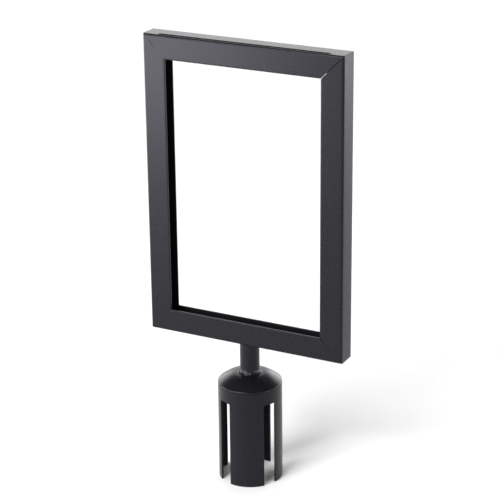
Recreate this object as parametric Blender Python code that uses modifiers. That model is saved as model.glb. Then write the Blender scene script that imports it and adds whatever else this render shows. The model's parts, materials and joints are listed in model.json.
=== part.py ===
"""Post-top sign frame: a portrait frame of folded sheet steel that swivels on a slotted collar.

The collar's four legs stand on z = 0 and its axis is the Z axis. The frame faces -Y.
"""

import bpy
import bmesh
from math import cos, pi, radians, sin, sqrt
from mathutils import Matrix

# Driving dimensions, in metres
MM = 0.001
frame_width = 228.6 * MM
frame_height = 330.2 * MM
frame_depth = 25.0 * MM
front_flange = 25.4 * MM
rear_flange = 21.2 * MM
sheet = 1.5 * MM
bend_radius = 2.2 * MM
sheet_edge_round = 0.35 * MM
gap = 0.3 * MM

slot_length = 196.0 * MM
slot_width = 4.5 * MM
slot_behind_front = 4.65 * MM

guide_sheet = 1.0 * MM
guide_reach = 22.0 * MM
guide_step = 17.7 * MM
guide_foot_start = 5.0 * MM
guide_pocket = 5.4 * MM

collar_radius = 34.925 * MM
collar_wall = 2.1 * MM
collar_height = 110.5 * MM
collar_slot_height = 96.2 * MM
collar_slot_angle = 25.2
collar_turn = 19.7

cap_sheet = 2.0 * MM
cap_crown_radius = 13.4 * MM
cap_crown_rise = 12.3 * MM
cap_rim_height = 1.2 * MM
cap_round = 1.6 * MM
cap_shoulder_angle = 51.0
cap_curve = 1.7

stem_radius = 10.67 * MM
stem_wall = 2.8 * MM
frame_base_height = 158.1 * MM
foot_radius = 12.9 * MM
foot_height = 4.4 * MM
foot_rim_height = 0.8 * MM
plug_length = 18.0 * MM

bolt_radius = 4.76 * MM
bolt_head_radius = 7.1 * MM
bolt_head_height = 5.5 * MM
bolt_socket_radius = 3.6 * MM
bolt_socket_depth = 3.0 * MM
running_gap = 0.1 * MM
bush_wall = 1.8 * MM
bush_flange = 1.0 * MM
bush_flange_radius = 12.4 * MM
washer_radius = 11.0 * MM
washer_thickness = 1.6 * MM
spring_washer_radius = 9.0 * MM
spring_washer_thickness = 1.0 * MM

corner_bead_radius = 1.6 * MM
cap_bead_radius = 1.2 * MM
stem_bead_radius = 0.9 * MM

# Heights that follow from them
collar_inner_radius = collar_radius - collar_wall
bush_bore = bolt_radius + running_gap
bush_radius = bush_bore + bush_wall
cap_base = collar_height + gap
crown_top = cap_base + cap_crown_rise
crown_underside = crown_top - cap_sheet
bush_flange_base = crown_top + gap
foot_base = bush_flange_base + bush_flange + running_gap
washer_base = crown_underside - gap - washer_thickness
spring_washer_base = washer_base - running_gap - spring_washer_thickness
bolt_head_top = spring_washer_base - gap
frame_middle = frame_base_height + frame_height / 2

round_steps = 96
small_round_steps = 48


def clear_scene():
    for old in list(bpy.data.objects):
        bpy.data.objects.remove(old)


def new_collection(name):
    collection = bpy.data.collections.new(name)
    bpy.context.scene.collection.children.link(collection)
    return collection


def new_material(name, colour, roughness, metallic):
    material = bpy.data.materials.new(name)
    material.use_nodes = True
    shader = material.node_tree.nodes["Principled BSDF"]
    shader.inputs["Base Color"].default_value = (*colour, 1.0)
    shader.inputs["Roughness"].default_value = roughness
    shader.inputs["Metallic"].default_value = metallic
    return material


def powder_coat(name):
    return new_material(name, (0.020, 0.020, 0.023), 0.32, 0.0)


def zinc_steel(name):
    return new_material(name, (0.55, 0.56, 0.58), 0.35, 1.0)


def nylon(name):
    return new_material(name, (0.03, 0.03, 0.03), 0.45, 0.0)


def add_object(name, mesh, collection, material=None):
    obj = bpy.data.objects.new(name, mesh)
    collection.objects.link(obj)
    if material:
        mesh.materials.append(material)
    return obj


def add_cutter(name, mesh, parent=None):
    cutter = add_object(name, mesh, cutters)
    cutter.hide_render = True
    cutter.display_type = "WIRE"
    cutter.parent = parent
    return cutter


def bevel(obj, width, segments, angle=30.0):
    modifier = obj.modifiers.new("Bevel", "BEVEL")
    modifier.width = width
    modifier.segments = segments
    modifier.limit_method = "ANGLE"
    modifier.angle_limit = radians(angle)


def cut(obj, cutter):
    modifier = obj.modifiers.new("Cut " + cutter.name, "BOOLEAN")
    modifier.operation = "DIFFERENCE"
    modifier.solver = "EXACT"
    modifier.object = cutter


def box_mesh(name, boxes):
    """One mesh of boxes, each given as its size and the matrix that places it."""
    work = bmesh.new()
    for size, matrix in boxes:
        scale = Matrix.Diagonal((*size, 1.0))
        bmesh.ops.create_cube(work, size=1.0, matrix=matrix @ scale)
    mesh = bpy.data.meshes.new(name)
    work.to_mesh(mesh)
    work.free()
    return mesh


def folded_strip(name, path, length):
    """An open surface: a path of (y, z) points, swept along X and centred on it."""
    work = bmesh.new()
    points = [work.verts.new((-length / 2, y, z)) for y, z in path]
    edges = [work.edges.new(pair) for pair in zip(points, points[1:])]
    swept = bmesh.ops.extrude_edge_only(work, edges=edges)
    moved = [part for part in swept["geom"] if isinstance(part, bmesh.types.BMVert)]
    bmesh.ops.translate(work, verts=moved, vec=(length, 0, 0))
    bmesh.ops.recalc_face_normals(work, faces=work.faces)
    mesh = bpy.data.meshes.new(name)
    work.to_mesh(mesh)
    work.free()
    return mesh


def fold(obj, bend, thickness, offset):
    """Rounds a strip's folds, gives it the sheet's thickness and eases the sheet's edges."""
    bevel(obj, bend, 5)
    modifier = obj.modifiers.new("Sheet", "SOLIDIFY")
    modifier.thickness = thickness
    modifier.offset = offset
    modifier.use_even_offset = True
    bevel(obj, sheet_edge_round, 2)


def turned(name, profile, collection, material, steps=round_steps):
    """(radius, height) points turned round Z: a ring, or a solid if they start and end on the axis."""
    work = bmesh.new()
    points = [work.verts.new((radius, 0, height)) for radius, height in profile]
    if profile[0][0] > 0:
        points.append(points[0])
    for pair in zip(points, points[1:]):
        work.edges.new(pair)
    mesh = bpy.data.meshes.new(name)
    work.to_mesh(mesh)
    work.free()
    obj = add_object(name, mesh, collection, material)
    modifier = obj.modifiers.new("Turn", "SCREW")
    modifier.angle = 2 * pi
    modifier.steps = steps
    modifier.render_steps = steps
    modifier.use_merge_vertices = True
    modifier.merge_threshold = 0.00001
    return obj


def arc(centre, radius, start, end, count):
    """Points from one angle to another, in degrees, round a centre of (radius, height)."""
    angles = [radians(start + (end - start) * step / count) for step in range(count + 1)]
    return [(centre[0] + radius * cos(a), centre[1] + radius * sin(a)) for a in angles]


def place_member(obj, side):
    """Puts a frame member, made as the bottom one, on its side of the frame."""
    half_width = frame_width / 2
    places = {
        "bottom": ((0, 0, frame_base_height), 0),
        "left": ((-half_width, 0, frame_middle), 90),
        "top": ((0, 0, frame_base_height + frame_height), 180),
        "right": ((half_width, 0, frame_middle), -90),
    }
    location, turn = places[side]
    obj.location = location
    obj.rotation_euler = (0, radians(turn), 0)


def member_length(side):
    return frame_width if side in ("bottom", "top") else frame_height


def add_member(name, side):
    """A folded channel, open to the window, with both ends cut to a mitre."""
    front = -frame_depth / 2
    rear = frame_depth / 2
    path = [(front, front_flange), (front, 0), (rear, 0), (rear, rear_flange)]
    length = member_length(side)
    mesh = folded_strip(name, path, length + 2 * sheet)
    obj = add_object(name, mesh, parts, powder_coat(name))
    obj.parent = frame_swivel
    place_member(obj, side)
    fold(obj, bend_radius, sheet, -1.0)
    reach = 2 * front_flange
    boxes = []
    for end in (-1, 1):
        corner = Matrix.Translation((end * (length / 2 - gap / 2 * sqrt(2)), 0, 0))
        turn = Matrix.Rotation(radians(-45 * end), 4, "Y")
        away = Matrix.Translation((end * reach / 2, 0, 0))
        boxes.append(((reach, 2 * frame_depth, 4 * front_flange), corner @ turn @ away))
    mesh = box_mesh(name + "_mitres", boxes)
    cut(obj, add_cutter(name + "_mitres", mesh, obj))
    return obj


def cut_insertion_slot(rail):
    """The long slot in the top web, which a sign goes down through."""
    across = slot_behind_front - frame_depth / 2
    size = (slot_length, slot_width, 6 * sheet)
    mesh = box_mesh("insertion_slot", [(size, Matrix.Translation((0, across, 0)))])
    cut(rail, add_cutter("insertion_slot", mesh, rail))


def add_guide(name, side, length, along):
    """A joggled strip behind the front flange, which forms a pocket for a sign's edge."""
    foot = -frame_depth / 2 + sheet + gap + guide_sheet / 2
    lip = -frame_depth / 2 + sheet + guide_pocket + guide_sheet / 2
    path = [(foot, guide_foot_start), (foot, guide_step), (lip, guide_step), (lip, guide_reach)]
    mesh = folded_strip(name, path, length)
    obj = add_object(name, mesh, parts, powder_coat(name))
    obj.parent = frame_swivel
    place_member(obj, side)
    obj.location.z += along
    fold(obj, 0.6 * MM, guide_sheet, 0.0)


def add_corner_weld(name, side_x, side_z):
    """A bead in the corner where two webs meet, inside the channels."""
    inset = sheet + gap + corner_bead_radius
    work = bmesh.new()
    bmesh.ops.create_cone(
        work,
        cap_ends=True,
        segments=16,
        radius1=corner_bead_radius,
        radius2=corner_bead_radius,
        depth=frame_depth - 2 * (bend_radius + sheet + gap),
        matrix=Matrix.Rotation(radians(90), 4, "X"),
    )
    mesh = bpy.data.meshes.new(name)
    work.to_mesh(mesh)
    work.free()
    obj = add_object(name, mesh, parts, powder_coat(name))
    obj.parent = frame_swivel
    across = side_x * (frame_width / 2 - inset)
    obj.location = (across, 0, frame_middle + side_z * (frame_height / 2 - inset))


def add_collar():
    """The sleeve: a ring above, four legs below, between open-ended slots."""
    inner = collar_inner_radius
    ease = 0.4 * MM
    profile = [(inner, collar_height), (collar_radius, collar_height)]
    profile += arc((collar_radius - ease, ease), ease, 0, -90, 3)
    profile += arc((inner + ease, ease), ease, -90, -180, 3)
    obj = turned("collar", profile, parts, powder_coat("collar"), 2 * round_steps)
    obj.rotation_euler = (0, 0, radians(collar_turn))
    corner = 1.5 * MM
    width = 2 * collar_radius * sin(radians(collar_slot_angle / 2))
    size = (collar_radius, width, collar_slot_height + corner)
    boxes = []
    for quarter in range(4):
        turn = Matrix.Rotation(radians(45 + 90 * quarter), 4, "Z")
        out = Matrix.Translation((collar_radius, 0, (collar_slot_height - corner) / 2))
        boxes.append((size, turn @ out))
    slots = add_cutter("collar_slots", box_mesh("collar_slots", boxes), obj)
    bevel(slots, corner, 4)
    cut(obj, slots)


def add_cap():
    """A pressed dome with a flat crown, a hole in the crown and a short rim."""
    shoulder = radians(cap_shoulder_angle)
    edge_radius = collar_radius - cap_round * (1 - cos(shoulder))
    edge_height = cap_rim_height + cap_round * sin(shoulder)
    dome = []
    for step in range(15):
        part = step / 14
        radius = cap_crown_radius + part * (edge_radius - cap_crown_radius)
        height = edge_height + (cap_crown_rise - edge_height) * (1 - part**cap_curve)
        dome.append((radius, height))
    rim = arc((collar_radius - cap_round, cap_rim_height), cap_round, cap_shoulder_angle, 0, 4)
    inner_radius = collar_radius - cap_sheet
    inward = inner_radius / edge_radius
    underside = [(radius * inward, height - cap_sheet) for radius, height in reversed(dome)]
    hole = bush_radius + gap
    profile = [(hole, cap_crown_rise), *dome, *rim[1:], (collar_radius, 0), (inner_radius, 0)]
    profile += [*underside, (hole, cap_crown_rise - cap_sheet)]
    obj = turned("domed_cap", profile, parts, powder_coat("domed_cap"))
    obj.location.z = cap_base


def add_ring_bead(name, ring_radius, height, bead_radius, parent=None):
    """A round weld bead that runs once round the Z axis."""
    profile = arc((ring_radius, 0), bead_radius, 90, -270 + 30, 11)
    obj = turned(name, profile, parts, powder_coat(name))
    obj.location.z = height
    obj.parent = parent


def add_stem():
    """The tube, from its foot to the bottom rail."""
    inner = stem_radius - stem_wall
    top = frame_base_height - gap
    profile = [(inner, top), (stem_radius, top), (stem_radius, foot_base), (inner, foot_base)]
    obj = turned("stem", profile, parts, powder_coat("stem"))
    obj.parent = frame_swivel


def add_stem_foot():
    """The flared ring that spreads the stem's load over the bush."""
    inner = stem_radius + gap
    lip = 0.3 * MM
    spread = foot_radius - inner - lip
    flare = []
    for step in range(7):
        angle = radians(15 * step)
        drop = (foot_height - foot_rim_height) * (1 - cos(angle))
        flare.append((inner + lip + spread * sin(angle), foot_height - drop))
    profile = [(inner, foot_height), *flare, (foot_radius, 0), (inner, 0)]
    obj = turned("stem_foot", profile, parts, powder_coat("stem_foot"))
    obj.location.z = foot_base
    obj.parent = frame_swivel


def add_stem_plug():
    """The threaded plug in the tube's lower end."""
    inner = bolt_radius + running_gap
    outer = stem_radius - stem_wall - gap
    profile = [(inner, plug_length), (outer, plug_length), (outer, 0), (inner, 0)]
    obj = turned("stem_plug", profile, parts, zinc_steel("stem_plug"), small_round_steps)
    obj.location.z = foot_base
    obj.parent = frame_swivel


def add_swivel_bolt():
    """A socket-head bolt that comes up through the cap and holds the plug."""
    ease = 0.5 * MM
    shank_top = foot_base + plug_length - 2 * ease
    head_base = bolt_head_top - bolt_head_height
    profile = [
        (0, shank_top),
        (bolt_radius - ease, shank_top),
        (bolt_radius, shank_top - ease),
        (bolt_radius, bolt_head_top),
        (bolt_head_radius, bolt_head_top),
        (bolt_head_radius, head_base + ease),
        (bolt_head_radius - ease, head_base),
        (0, head_base),
    ]
    obj = turned("swivel_bolt", profile, parts, zinc_steel("swivel_bolt"), small_round_steps)
    obj.parent = frame_swivel
    work = bmesh.new()
    bmesh.ops.create_cone(
        work,
        cap_ends=True,
        segments=6,
        radius1=bolt_socket_radius,
        radius2=bolt_socket_radius,
        depth=2 * bolt_socket_depth,
        matrix=Matrix.Translation((0, 0, head_base)),
    )
    mesh = bpy.data.meshes.new("bolt_socket")
    work.to_mesh(mesh)
    work.free()
    cut(obj, add_cutter("bolt_socket", mesh, obj))


def add_swivel_bush():
    """A flanged bush: its sleeve lines the cap's hole and the foot turns on its flange."""
    profile = [
        (bush_bore, bush_flange),
        (bush_flange_radius, bush_flange),
        (bush_flange_radius, 0),
        (bush_radius, 0),
        (bush_radius, -gap - cap_sheet),
        (bush_bore, -gap - cap_sheet),
    ]
    obj = turned("swivel_bush", profile, parts, nylon("swivel_bush"), small_round_steps)
    obj.location.z = bush_flange_base


def add_washer(name, radius, thickness, base, parent=None):
    profile = [(bush_bore, thickness), (radius, thickness), (radius, 0), (bush_bore, 0)]
    obj = turned(name, profile, parts, zinc_steel(name), small_round_steps)
    obj.location.z = base
    obj.parent = parent


clear_scene()
parts = new_collection("post_top_sign_frame")
cutters = new_collection("cutters")
frame_swivel = bpy.data.objects.new("frame_swivel", None)
parts.objects.link(frame_swivel)

add_member("bottom_rail", "bottom")
add_member("left_stile", "left")
add_member("right_stile", "right")
cut_insertion_slot(add_member("top_rail", "top"))

for name, side_x, side_z in (
    ("corner_weld_top_left", -1, 1),
    ("corner_weld_top_right", 1, 1),
    ("corner_weld_bottom_left", -1, -1),
    ("corner_weld_bottom_right", 1, -1),
):
    add_corner_weld(name, side_x, side_z)

guide_clear = guide_reach + 2 * guide_sheet
side_guide_length = frame_height - guide_clear - guide_foot_start
side_guide_lift = (guide_clear - guide_foot_start) / 2
add_guide("insert_guide_bottom", "bottom", frame_width - 2 * guide_clear, 0)
add_guide("insert_guide_left", "left", side_guide_length, side_guide_lift)
add_guide("insert_guide_right", "right", side_guide_length, side_guide_lift)

add_stem()
add_stem_foot()
add_stem_plug()
stem_bead_ring = stem_radius + gap + stem_bead_radius
stem_bead_height = frame_base_height - gap - stem_bead_radius
add_ring_bead("stem_top_weld", stem_bead_ring, stem_bead_height, stem_bead_radius, frame_swivel)
add_swivel_bolt()
add_washer(
    "spring_washer",
    spring_washer_radius,
    spring_washer_thickness,
    spring_washer_base,
    frame_swivel,
)

add_collar()
add_cap()
cap_bead_ring = collar_inner_radius - gap - cap_bead_radius
add_ring_bead("cap_weld", cap_bead_ring, collar_height, cap_bead_radius)
add_swivel_bush()
add_washer("lower_washer", washer_radius, washer_thickness, washer_base)
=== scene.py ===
import json
from math import atan, cos, pi, radians, sin

import bmesh
import bpy
from mathutils import Matrix, Vector


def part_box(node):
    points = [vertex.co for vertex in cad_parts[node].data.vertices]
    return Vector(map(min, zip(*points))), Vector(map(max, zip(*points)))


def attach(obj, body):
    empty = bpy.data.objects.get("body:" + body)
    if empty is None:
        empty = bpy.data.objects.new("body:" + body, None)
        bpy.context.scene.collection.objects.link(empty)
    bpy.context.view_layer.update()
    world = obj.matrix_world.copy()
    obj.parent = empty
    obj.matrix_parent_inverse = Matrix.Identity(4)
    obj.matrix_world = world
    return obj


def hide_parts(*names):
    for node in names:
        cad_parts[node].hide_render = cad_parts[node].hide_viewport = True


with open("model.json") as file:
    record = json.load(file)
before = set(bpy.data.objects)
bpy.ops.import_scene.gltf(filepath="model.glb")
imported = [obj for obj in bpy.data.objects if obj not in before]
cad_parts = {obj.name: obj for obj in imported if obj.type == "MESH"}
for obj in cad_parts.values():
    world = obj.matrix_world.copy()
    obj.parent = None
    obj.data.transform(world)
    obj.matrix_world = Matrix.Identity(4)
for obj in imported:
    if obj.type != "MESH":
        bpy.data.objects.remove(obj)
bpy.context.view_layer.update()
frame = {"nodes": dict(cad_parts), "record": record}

MM = 0.001
COAT = "black_powder_coat"
FRAME_BODY, COLLAR_BODY = "swivel_frame", "slip_on_collar"


# ---------------------------------------------------------------- materials

def node_tree(name):
    """A new material with a Principled shader, whose nodes the caller adds to."""
    material = bpy.data.materials.new(name)
    material.use_nodes = True
    nodes, links = material.node_tree.nodes, material.node_tree.links
    nodes.clear()
    output = nodes.new("ShaderNodeOutputMaterial")
    shader = nodes.new("ShaderNodeBsdfPrincipled")
    links.new(shader.outputs["BSDF"], output.inputs["Surface"])
    return material, nodes, links, shader


def noise(nodes, links, place, scale, detail, rough):
    """Noise from 0 to 1, most of it between 0.3 and 0.7; scale is in cells per metre."""
    node = nodes.new("ShaderNodeTexNoise")
    node.inputs["Scale"].default_value = scale
    node.inputs["Detail"].default_value = detail
    node.inputs["Roughness"].default_value = rough
    links.new(place, node.inputs["Vector"])
    return node.outputs["Fac"]


def remap(nodes, links, value, low, high, from_low=0.3, from_high=0.7):
    node = nodes.new("ShaderNodeMapRange")
    node.inputs["From Min"].default_value = from_low
    node.inputs["From Max"].default_value = from_high
    node.inputs["To Min"].default_value = low
    node.inputs["To Max"].default_value = high
    links.new(value, node.inputs["Value"])
    return node.outputs["Result"]


def blend_colour(nodes, links, factor, low, high):
    node = nodes.new("ShaderNodeMix")
    node.data_type = "RGBA"
    node.inputs["A"].default_value = (*low, 1.0)
    node.inputs["B"].default_value = (*high, 1.0)
    links.new(factor, node.inputs["Factor"])
    return node.outputs["Result"]


def bump(nodes, links, height, distance, under=None):
    """A normal for that height, on top of the normal under it."""
    node = nodes.new("ShaderNodeBump")
    node.inputs["Strength"].default_value = 1.0
    node.inputs["Distance"].default_value = distance
    links.new(height, node.inputs["Height"])
    if under:
        links.new(under, node.inputs["Normal"])
    return node.outputs["Normal"]


def powder_coat(name, dark, light, smooth, rough, level):
    """Satin black powder coat: fine orange peel, a finer grain and a slow cloudiness."""
    material, nodes, links, shader = node_tree(name)
    place = nodes.new("ShaderNodeTexCoord").outputs["Object"]
    peel = noise(nodes, links, place, scale=900, detail=2.0, rough=0.55)
    grain = noise(nodes, links, place, scale=3600, detail=1.0, rough=0.5)
    cloud = noise(nodes, links, place, scale=14, detail=4.0, rough=0.6)
    links.new(blend_colour(nodes, links, cloud, dark, light), shader.inputs["Base Color"])
    links.new(remap(nodes, links, peel, smooth, rough), shader.inputs["Roughness"])
    peel_normal = bump(nodes, links, peel, 0.015 * MM)
    normal = bump(nodes, links, grain, 0.003 * MM, under=peel_normal)
    links.new(normal, shader.inputs["Normal"])
    shader.inputs["Specular IOR Level"].default_value = level
    shader.inputs["Specular Tint"].default_value = (0.90, 0.87, 1.0, 1.0)
    return material


def zinc_steel():
    material, nodes, links, shader = node_tree("zinc_plated_steel")
    place = nodes.new("ShaderNodeTexCoord").outputs["Object"]
    spangle = noise(nodes, links, place, scale=260, detail=3.0, rough=0.6)
    fine = noise(nodes, links, place, scale=2400, detail=1.0, rough=0.5)
    dark, light = (0.52, 0.53, 0.55), (0.68, 0.69, 0.70)
    links.new(blend_colour(nodes, links, spangle, dark, light), shader.inputs["Base Color"])
    links.new(remap(nodes, links, spangle, 0.26, 0.42), shader.inputs["Roughness"])
    links.new(bump(nodes, links, fine, 0.01 * MM), shader.inputs["Normal"])
    shader.inputs["Metallic"].default_value = 1.0
    return material


def nylon():
    material, nodes, links, shader = node_tree("black_nylon")
    place = nodes.new("ShaderNodeTexCoord").outputs["Object"]
    grain = noise(nodes, links, place, scale=1800, detail=2.0, rough=0.5)
    dark, light = (0.012, 0.012, 0.013), (0.022, 0.022, 0.023)
    links.new(blend_colour(nodes, links, grain, dark, light), shader.inputs["Base Color"])
    links.new(remap(nodes, links, grain, 0.48, 0.60), shader.inputs["Roughness"])
    links.new(bump(nodes, links, grain, 0.02 * MM), shader.inputs["Normal"])
    return material


finishes = {
    COAT: powder_coat(
        "powder_coat",
        dark=(0.0042, 0.0041, 0.0052),
        light=(0.0066, 0.0064, 0.0080),
        smooth=0.25,
        rough=0.31,
        level=0.19,
    ),
    "zinc_plated_steel": zinc_steel(),
    "black_nylon": nylon(),
}
# A darker, rougher, less shiny copy of the powder coat for the collar's inside faces: painted
# shade standing in for the shadow inside the collar.
painted_shade_inside_coat = powder_coat(
    "powder_coat_painted_shade",
    dark=(0.0030, 0.0030, 0.0034),
    light=(0.0046, 0.0046, 0.0052),
    smooth=0.62,
    rough=0.74,
    level=0.08,
)
node_slots = {part["node"]: part["material_slot"] for part in frame["record"]["subparts"]}
for name, obj in frame["nodes"].items():
    for slot in obj.material_slots:
        slot.material = finishes[node_slots[name]]


# ---------------------------------------------------------------- shapes

def link_mesh(name, mesh):
    obj = bpy.data.objects.new(name, mesh)
    bpy.context.scene.collection.objects.link(obj)
    return obj


def coated_piece(name, points, faces, body, node, sharp=30.0):
    """A powder-coated mesh that rides on a body in place of its CAD node.

    It is shaded smooth, apart from edges sharper than that many degrees.
    """
    mesh = bpy.data.meshes.new(name)
    mesh.from_pydata(points, [], faces)
    work = bmesh.new()
    work.from_mesh(mesh)
    bmesh.ops.recalc_face_normals(work, faces=work.faces)
    work.to_mesh(mesh)
    work.free()
    mesh.shade_smooth()
    mesh.set_sharp_from_angle(angle=radians(sharp))
    mesh.materials.append(finishes[COAT])
    piece = link_mesh(name, mesh)
    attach(piece, body)
    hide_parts(node)
    return piece


def arc(centre, radius, start, end, count):
    """Points on an arc from one angle to another, in degrees, without its first point."""
    steps = [radians(start + (end - start) * k / count) for k in range(1, count + 1)]
    return [(centre[0] + radius * cos(a), centre[1] + radius * sin(a)) for a in steps]


def line(start, end, count):
    """Points on a line, without its first point."""
    (x, y), (end_x, end_y) = start, end
    parts = [k / count for k in range(1, count + 1)]
    return [(x + (end_x - x) * t, y + (end_y - y) * t) for t in parts]


def loft(rings, closed_ends):
    """Points and faces of rings of equal length.

    The ends are closed with a face each, or else joined to each other.
    """
    size, points = len(rings[0]), [point for ring in rings for point in ring]
    faces = []
    for r in range(len(rings) - 1 + (not closed_ends)):
        low, high = r * size, (r + 1) % len(rings) * size
        for k in range(size):
            n = (k + 1) % size
            faces.append((low + k, low + n, high + n, high + k))
    if closed_ends:
        last = (len(rings) - 1) * size
        faces += [tuple(range(size)), tuple(range(last + size - 1, last - 1, -1))]
    return points, faces


def turned(profile, steps, shift=None):
    """A (radius, height) profile turned round Z.

    shift(angle, radius, height) may move its points.
    """
    rings = []
    for k in range(steps):
        angle = 2 * pi * k / steps
        ring = []
        for radius, height in profile:
            r, h = shift(angle, radius, height) if shift else (radius, height)
            ring.append((r * sin(angle), -r * cos(angle), h))
        rings.append(ring)
    return loft(rings, False)


# ---------------------------------------------------------------- frame

def frame_box():
    """The frame's lower and upper corners, read from its four members."""
    low_x, low_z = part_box("left_stile")[0].x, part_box("bottom_rail")[0].z
    high_x, high_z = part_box("right_stile")[1].x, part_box("top_rail")[1].z
    low_y, high_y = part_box("bottom_rail")[0].y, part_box("top_rail")[1].y
    return Vector((low_x, low_y, low_z)), Vector((high_x, high_y, high_z))


frame_low, frame_high = frame_box()
frame_width, frame_height = frame_high.x - frame_low.x, frame_high.z - frame_low.z
half_depth = frame_high.y
front_flange, rear_flange = 25.4 * MM, 21.2 * MM
sheet, bend, edge_round = 1.5 * MM, 2.2 * MM, 0.4 * MM
seam_land = 0.55 * MM


def channel_profile():
    """The folded sheet's section as (y, z).

    z rises from the frame's outer edge towards the window.
    """
    front, rear, inner = -half_depth, half_depth, bend - sheet
    ease, front_top, rear_top = edge_round, front_flange - edge_round, rear_flange - edge_round
    # the outside: down the front, along the web, up the rear
    path = [(front, front_top)]
    path += line(path[-1], (front, bend), 14)
    path += arc((front + bend, bend), bend, 180, 270, 8)
    path += line(path[-1], (rear - bend, 0), 4)
    path += arc((rear - bend, bend), bend, -90, 0, 8)
    path += line(path[-1], (rear, rear_top), 10)
    # the rear flange's edge
    path += arc((rear - ease, rear_top), ease, 0, 90, 3)
    path += [(rear - sheet + ease, rear_flange)]
    path += arc((rear - sheet + ease, rear_top), ease, 90, 180, 3)
    # the inside, back to the front
    path += [(rear - sheet, bend)]
    path += arc((rear - bend, bend), inner, 0, -90, 4)
    path += [(front + bend, sheet)]
    path += arc((front + bend, bend), inner, 270, 180, 4)
    # the front flange's edge
    path += [(front + sheet, front_top)]
    path += arc((front + sheet - ease, front_top), ease, 0, 90, 3)
    path += [(front + ease, front_flange)]
    path += arc((front + ease, front_top), ease, 90, 180, 3)[:-1]
    return path


def corner_cut(back, corner):
    """How far a rounded outer corner of that radius cuts in, at a distance back from it."""
    if back >= corner:
        return 0.0
    return corner - (corner * corner - (corner - max(back, 0.0)) ** 2) ** 0.5


def seam(kind, z):
    """Half the gap of a mitre seam, at z from the outer edge.

    open and ground widen towards the window, half opens only on its way there, nick
    is a short gap part of the way along, and closed is a hairline.
    """
    part, hairline = z / front_flange, 0.01 * MM
    if kind in ("open", "ground"):
        gap, widening = 0.16, 0.20
        return (gap + widening * part) * MM
    if kind == "half":
        start, run, gap = 0.30, 0.6, 0.34 * MM
        return hairline + gap * max(0.0, min(1.0, (part - start) / run))
    if kind == "nick":
        middle, reach, gap = 0.36, 0.16, 0.36 * MM
        return hairline + gap * max(0.0, 1.0 - abs(part - middle) / reach)
    return 0.5 * hairline


def ground_dip(kind, y, z, back):
    """How far the front face is ground down beside a ground seam, at back from the mitre."""
    fade = 1.5 * MM
    if kind != "ground" or y > edge_round - half_depth or z < bend:
        return 0.0
    return seam_land * max(0.0, 1.0 - back / seam_land) * min(1.0, (z - bend) / fade)


def end_rings(side, length, kind, corner):
    """Sections parallel to the mitre at one end, from the mitre inwards."""
    corner_steps, depth_rounds = 6, 12
    past_corner, seam_side = 40 * MM, 0.2 * MM
    backs = [0.0, 0.25 * MM, seam_land, seam_land + 0.05 * MM, past_corner]
    backs += [corner * k / corner_steps for k in range(1, 2 * corner_steps + 1)]
    rings = []
    for back in sorted(set(backs)):
        ring = []
        for y, z in channel_profile():
            depth = z
            for _ in range(depth_rounds):
                depth = max(z, corner_cut(depth + back, corner))
            gap = seam(kind, z)
            open_by = gap if back < seam_side else max(0.0, gap - back)
            dip = ground_dip(kind, y, z, back)
            ring.append((side * (length / 2 - depth - back - open_by), y + dip, depth))
        rings.append(ring)
    return rings


def add_member(node, place, turn, length, left, right):
    """A frame member, made along the bottom and turned to its side of the frame.

    left and right are its ends as made, each a kind of seam and a corner radius.
    """
    matrix = Matrix.Translation(place) @ Matrix.Rotation(radians(turn), 4, "Y")
    rings = end_rings(-1, length, *left) + end_rings(1, length, *right)[::-1]
    points, faces = loft(rings, True)
    points = [matrix @ Vector(point) for point in points]
    return coated_piece(node + "_shell", points, faces, FRAME_BODY, node)


middle_z = (frame_low.z + frame_high.z) / 2
bottom, top = (0, 0, frame_low.z), (0, 0, frame_high.z)
left, right = (-frame_width / 2, 0, middle_z), (frame_width / 2, 0, middle_z)
top_left, bottom_left = ("nick", 1.0 * MM), ("closed", 3.4 * MM)
top_right, bottom_right = ("open", 0.8 * MM), ("half", 2.0 * MM)
top_right_below = ("ground", 0.8 * MM)
add_member("bottom_rail", bottom, 0, frame_width, bottom_left, bottom_right)
add_member("left_stile", left, 90, frame_height, top_left, bottom_left)
top_rail = add_member("top_rail", top, 180, frame_width, top_right, top_left)
add_member("right_stile", right, -90, frame_height, bottom_right, top_right_below)


def add_insertion_slot(rail):
    """Cuts the long round-ended slot through the top web, which a sign goes down through."""
    half_length, half_width, from_front = 98.0 * MM, 2.25 * MM, 4.65 * MM
    middle_y, straight = from_front - half_depth, half_length - half_width
    right_end = arc((0, 0), half_width, -90, 90, 12)
    left_end = arc((0, 0), half_width, 90, 270, 12)
    outline = [(straight, middle_y - half_width)]
    outline += [(straight + x, middle_y + y) for x, y in right_end]
    outline += [(-straight, middle_y + half_width)]
    outline += [(x - straight, middle_y + y) for x, y in left_end]
    heights = (frame_high.z - 4 * sheet, frame_high.z + sheet)
    points, faces = loft([[(x, y, z) for x, y in outline] for z in heights], True)
    mesh = bpy.data.meshes.new("slot_cutter")
    mesh.from_pydata(points, [], faces)
    cutter = link_mesh("slot_cutter", mesh)
    modifier = rail.modifiers.new("Slot", "BOOLEAN")
    modifier.solver = "EXACT"
    modifier.object = cutter
    bpy.context.view_layer.update()
    graph = bpy.context.evaluated_depsgraph_get()
    cut = bpy.data.meshes.new_from_object(rail.evaluated_get(graph))
    rail.modifiers.clear()
    rail.data = cut
    bpy.data.objects.remove(cutter)
    cut.shade_smooth()
    cut.set_sharp_from_angle(angle=radians(30))


add_insertion_slot(top_rail)


# ---------------------------------------------------------------- collar

collar_radius, collar_wall = 34.925 * MM, 2.1 * MM
collar_turn = radians(19.7)
collar_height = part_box("collar")[1].z
slot_height, slot_half, slot_corner = 96.2 * MM, 7.62 * MM, 1.5 * MM
leg_columns = 26
slot_depths = (0.0, 0.35, 0.72, 1.10, 1.5, 3.0, 4.5, 6.0, 7.62)  # mm in from a slot's side


def slot_angle(radius, depth):
    """Where a slot's side, or a line at that depth inside the slot, meets the radius."""
    half = slot_half - depth
    return pi / 4 - atan(half / (radius * radius - half * half) ** 0.5)


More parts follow.
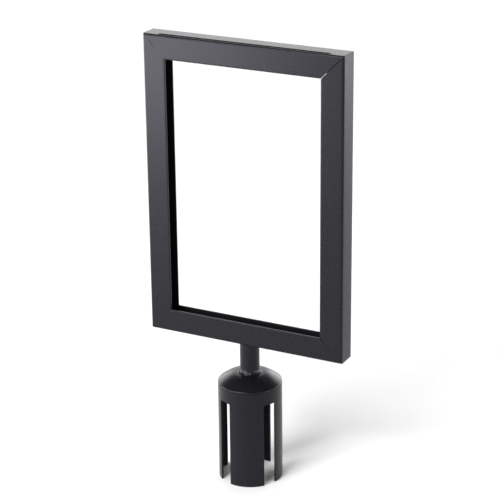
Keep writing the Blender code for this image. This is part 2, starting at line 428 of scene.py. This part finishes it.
def collar_columns(radius):
    """(angle, depth in a slot, or None on a leg) round one quarter, from a leg's middle."""
    edge = slot_angle(radius, 0.0)
    columns = [(edge * k / leg_columns, None) for k in range(leg_columns)]
    columns += [(slot_angle(radius, depth * MM), depth * MM) for depth in slot_depths]
    mirrored = [(pi / 2 - angle, depth) for angle, depth in reversed(columns[1:-1])]
    return columns + mirrored


def slot_top(depth):
    """The slot's upper edge, with its round corner, at a distance in from the slot's side."""
    rest = max(0.0, slot_corner - depth)
    return slot_height - slot_corner + (slot_corner * slot_corner - rest * rest) ** 0.5


def collar_mesh():
    """The sleeve with its four legs, in two rows: below the slots' tops, and above them."""
    outer, inner = collar_radius, collar_radius - collar_wall
    sides = {
        "outer": (outer, collar_columns(outer)),
        "inner": (inner, collar_columns(inner)),
    }
    depths = [depth for _, depth in collar_columns(outer)]
    count = len(depths)
    points, index = [], {}
    for side, (radius, columns) in sides.items():
        for quarter in range(4):
            for k, (angle, depth) in enumerate(columns):
                around = collar_turn + quarter * pi / 2 + angle
                place = (radius * sin(around), -radius * cos(around))
                low = slot_height - slot_corner if depth is None else slot_top(depth)
                for level, height in enumerate((0.0, low, collar_height)):
                    index[side, quarter * count + k, level] = len(points)
                    points.append((*place, height))
    faces, total = [], 4 * count
    for k in range(total):
        n = (k + 1) % total
        here, there = depths[k % count], depths[n % count]
        lowest = 0 if here is None or there is None else 1
        for row in range(lowest, 2):
            for side in sides:
                corners = [(k, row), (n, row), (n, row + 1), (k, row + 1)]
                faces.append([index[side, column, level] for column, level in corners])
        for level in (lowest, 2):
            corners = [("outer", k), ("outer", n), ("inner", n), ("inner", k)]
            faces.append([index[side, column, level] for side, column in corners])
        if (here is None) != (there is None):
            edge = n if here is None else k
            corners = [("outer", 0), ("outer", 1), ("inner", 1), ("inner", 0)]
            faces.append([index[side, edge, level] for side, level in corners])
    return points, faces


def add_collar():
    """The collar, with no loose points and its sharp edges eased; its inside faces get a
    darker, duller copy of the coat, which is painted shade.
    """
    piece = coated_piece("collar_shell", *collar_mesh(), COLLAR_BODY, "collar", 180.0)
    work = bmesh.new()
    work.from_mesh(piece.data)
    loose = [vert for vert in work.verts if not vert.link_faces]
    bmesh.ops.delete(work, geom=loose, context="VERTS")
    work.to_mesh(piece.data)
    work.free()
    modifier = piece.modifiers.new("Ease", "BEVEL")
    modifier.width = 0.16 * MM
    modifier.segments = 2
    modifier.limit_method = "ANGLE"
    modifier.angle_limit = radians(40)
    modifier.harden_normals = True
    mesh, wall_middle = piece.data, collar_radius - 0.5 * collar_wall
    # The inside faces take the darker copy of the coat, painted shade inside the collar.
    mesh.materials.append(painted_shade_inside_coat)
    for face in mesh.polygons:
        if all(Vector(mesh.vertices[k].co[:2]).length < wall_middle for k in face.vertices):
            face.material_index = 1


def cap_profile():
    """Up over the dome from its hole, round the rim, and back under the dome."""
    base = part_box("domed_cap")[0].z
    crown_radius, crown_rise, dome_steps, dome_curve = 13.4 * MM, 12.3 * MM, 40, 1.7
    rim_height, rim_round, shoulder = 1.2 * MM, 1.6 * MM, 51
    thickness, hole, chamfer = 2.0 * MM, 6.96 * MM, 0.15 * MM
    edge_radius = collar_radius - rim_round * (1 - cos(radians(shoulder)))
    edge_height = rim_height + rim_round * sin(radians(shoulder))
    dome = []
    for step in range(dome_steps + 1):
        part = step / dome_steps
        height = edge_height + (crown_rise - edge_height) * (1 - part**dome_curve)
        dome.append((crown_radius + part * (edge_radius - crown_radius), height))
    rim = arc((collar_radius - rim_round, rim_height), rim_round, shoulder, 0, 8)
    rim += [(collar_radius, chamfer), (collar_radius - chamfer, 0)]
    inward = (collar_radius - thickness) / edge_radius
    under = [(radius * inward, height - thickness) for radius, height in reversed(dome)]
    profile = [(hole, crown_rise), *dome, *rim]
    profile += [(collar_radius - thickness, 0), *under, (hole, crown_rise - thickness)]
    return [(radius, base + height) for radius, height in profile]


add_collar()
coated_piece("domed_cap_shell", *turned(cap_profile(), 192), COLLAR_BODY, "domed_cap", 35.0)


# ---------------------------------------------------------------- stem

foot_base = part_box("stem_foot")[0].z
flare_start = 10.76 * MM


def foot_profile():
    """The flare at the stem's foot.

    It leaves the tube smoothly and ends just clear of the dome's crown.
    """
    bore, tube, bush, outer = 10.70 * MM, 10.74 * MM, 12.55 * MM, 13.25 * MM
    low, high, chamfer = -1.22 * MM, 5.6 * MM, (0.2 * MM, 0.06 * MM)
    spread, fall, steps = 2.1, 0.85, 28
    flare = []
    for k in range(steps + 1):
        part = k / steps
        radius = tube + (outer - tube) * part**spread
        flare.append((radius, foot_base + high + (low - high) * part**fall))
    skirt = [(outer - chamfer[0], foot_base + low - chamfer[1])]
    skirt += [(bush, foot_base + low), (bush, foot_base)]
    return [(bore, foot_base + high), *flare, *skirt, (bore, foot_base)]


def ripples(angle, waves):
    """The sum of (size, number of waves round the stem, phase)."""
    return sum(size * sin(count * angle + phase) for size, count, phase in waves)


def dimple(angle, centre, width):
    """1 at an angle, falling to 0 on both sides of it."""
    away = abs((angle - centre + pi) % (2 * pi) - pi) / width
    return max(0.0, 1.0 - away * away) ** 2


def foot_shift(angle, radius, height):
    """The weld's ripples, and the lumps where the bead starts and stops."""
    if height < foot_base - 0.4 * MM or radius < flare_start:
        return radius, height
    share = min(1.0, (radius - flare_start) / (1.2 * MM))
    swell = ripples(angle, [(0.05, 31, 0.0), (0.05, 17, 1.3), (0.04, 47, 0.4)])
    lumps = [(0.34, 34, 0.16), (-0.30, 22, 0.13), (0.22, 8, 0.14), (-0.12, -6, 0.12)]
    swell += sum(size * dimple(angle, radians(at), width) for size, at, width in lumps)
    return radius + share * swell * MM, height + 0.4 * share * swell * MM


def weld_shift(angle, radius, height):
    """The ripples of the bead at the stem's top."""
    waves = [(0.05, 27, 0.0), (0.03, 43, 0.7), (0.03, 11, 2.0)]
    return radius + ripples(angle, waves) * MM, height


def add_stem():
    low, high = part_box("stem")
    inner, outer = 7.87 * MM, 10.67 * MM
    profile = [(inner, high.z), (outer, high.z), (outer, low.z), (inner, low.z)]
    coated_piece("stem_tube", *turned(profile, 128), FRAME_BODY, "stem")
    flare = turned(foot_profile(), 256, foot_shift)
    coated_piece("stem_foot_flare", *flare, FRAME_BODY, "stem_foot", 50.0)


def add_stem_weld():
    """The small bead under the bottom rail, round the top of the stem."""
    top_z, tube, bead = frame_low.z - 0.02 * MM, 10.68 * MM, 0.75 * MM
    bow = [(0.0, 1.1), (0.35, 0.75), (0.75, 0.35), (1.05, 0.0), (0.0, 0.0)]
    profile = [(tube + out * bead, top_z - down * bead) for out, down in bow]
    ring = turned(profile, 192, weld_shift)
    coated_piece("stem_top_bead", *ring, FRAME_BODY, "stem_top_weld", 60.0)


add_stem()
add_stem_weld()


# ---------------------------------------------------------------- stage

def direction(bearing, height):
    """The unit vector at a bearing from the front, positive to the right, and a height."""
    return Vector((sin(bearing) * cos(height), -cos(bearing) * cos(height), sin(height)))


def add_floor():
    half = 9.0
    mesh = bpy.data.meshes.new("floor")
    corners = [(-half, -half, 0), (half, -half, 0), (half, half, 0), (-half, half, 0)]
    mesh.from_pydata(corners, [], [(0, 1, 2, 3)])
    floor = link_mesh("floor", mesh)
    material, nodes, links, shader = node_tree("pale_floor")
    place = nodes.new("ShaderNodeTexCoord").outputs["Object"]
    cloud = noise(nodes, links, place, scale=3.0, detail=3.0, rough=0.5)
    pale = blend_colour(nodes, links, cloud, (0.80, 0.80, 0.80), (0.83, 0.83, 0.83))
    links.new(pale, shader.inputs["Base Color"])
    shader.inputs["Roughness"].default_value = 0.8
    mesh.materials.append(material)


def add_light(name, kind, bearing, height, power, away=0.0):
    """A light that faces the object, from a bearing and a height in degrees."""
    light = bpy.data.lights.new(name, kind)
    light.energy = power
    obj = bpy.data.objects.new(name, light)
    bpy.context.scene.collection.objects.link(obj)
    towards = direction(radians(bearing), radians(height))
    obj.location = Vector((0.0, 0.0, 0.2)) + towards * away
    obj.rotation_mode = "QUATERNION"
    obj.rotation_quaternion = towards.to_track_quat("Z", "Y")
    return light


def near_light(name, bearing, height, away, size, power):
    """A square softbox of that size, that many metres away."""
    light = add_light(name, "AREA", bearing, height, power, away)
    light.shape = "SQUARE"
    light.size = size


def far_light(name, bearing, height, width, power):
    """A softbox too far away to light the floor unevenly; width is the angle it fills."""
    light = add_light(name, "SUN", bearing, height, power)
    light.angle = radians(width)


def add_world(horizon, ceiling, ceiling_from):
    """A studio that is bright round the horizon and dims to its ceiling.

    ceiling_from gives the heights, as the sine of the angle, where that starts and ends.
    """
    world = bpy.data.worlds.new("studio")
    bpy.context.scene.world = world
    world.use_nodes = True
    nodes, links = world.node_tree.nodes, world.node_tree.links
    sky = nodes.new("ShaderNodeTexCoord").outputs["Generated"]
    split = nodes.new("ShaderNodeSeparateXYZ")
    links.new(sky, split.inputs["Vector"])
    strength = remap(nodes, links, split.outputs["Z"], horizon, ceiling, *ceiling_from)
    background = nodes["Background"]
    background.inputs["Color"].default_value = (1.0, 1.0, 1.0, 1.0)
    links.new(strength, background.inputs["Strength"])


add_floor()
add_world(horizon=1.0, ceiling=0.12, ceiling_from=(0.06, 0.32))
far_light("key", bearing=-13, height=31, width=38, power=4.4)
far_light("left", bearing=-118, height=10, width=40, power=1.3)
far_light("back_left", bearing=-150, height=24, width=34, power=0.6)
far_light("back", bearing=173, height=8, width=44, power=1.8)
far_light("back_right", bearing=130, height=6, width=24, power=1.3)
far_light("right", bearing=90, height=8, width=26, power=1.3)
near_light("low_front_left", bearing=-36, height=0, away=1.4, size=0.5, power=9.5)
near_light("low_left", bearing=-74, height=1, away=1.5, size=0.7, power=18)
near_light("low_right", bearing=142, height=2, away=1.8, size=0.7, power=7)


# ---------------------------------------------------------------- camera

def add_camera(bearing, height, roll, away, target, lens):
    """A camera that looks at the target from the photograph's angle, in degrees."""
    camera = bpy.data.objects.new("camera", bpy.data.cameras.new("camera"))
    bpy.context.scene.collection.objects.link(camera)
    camera.data.sensor_width = 36.0
    camera.data.lens = lens
    camera.data.clip_start, camera.data.clip_end = 0.05, 60.0
    back = direction(radians(bearing), radians(height))
    place = Matrix.Translation(Vector(target) + back * away)
    level = back.to_track_quat("Z", "Y").to_matrix().to_4x4()
    camera.matrix_world = place @ level @ Matrix.Rotation(radians(roll), 4, "Z")
    bpy.context.scene.camera = camera


add_camera(
    bearing=27.382,
    height=20.671,
    roll=-0.616,
    away=1.8633,
    target=(0.0082, -0.0125, 0.2688),
    lens=128.16,
)
bpy.context.scene.view_settings.view_transform = "Standard"
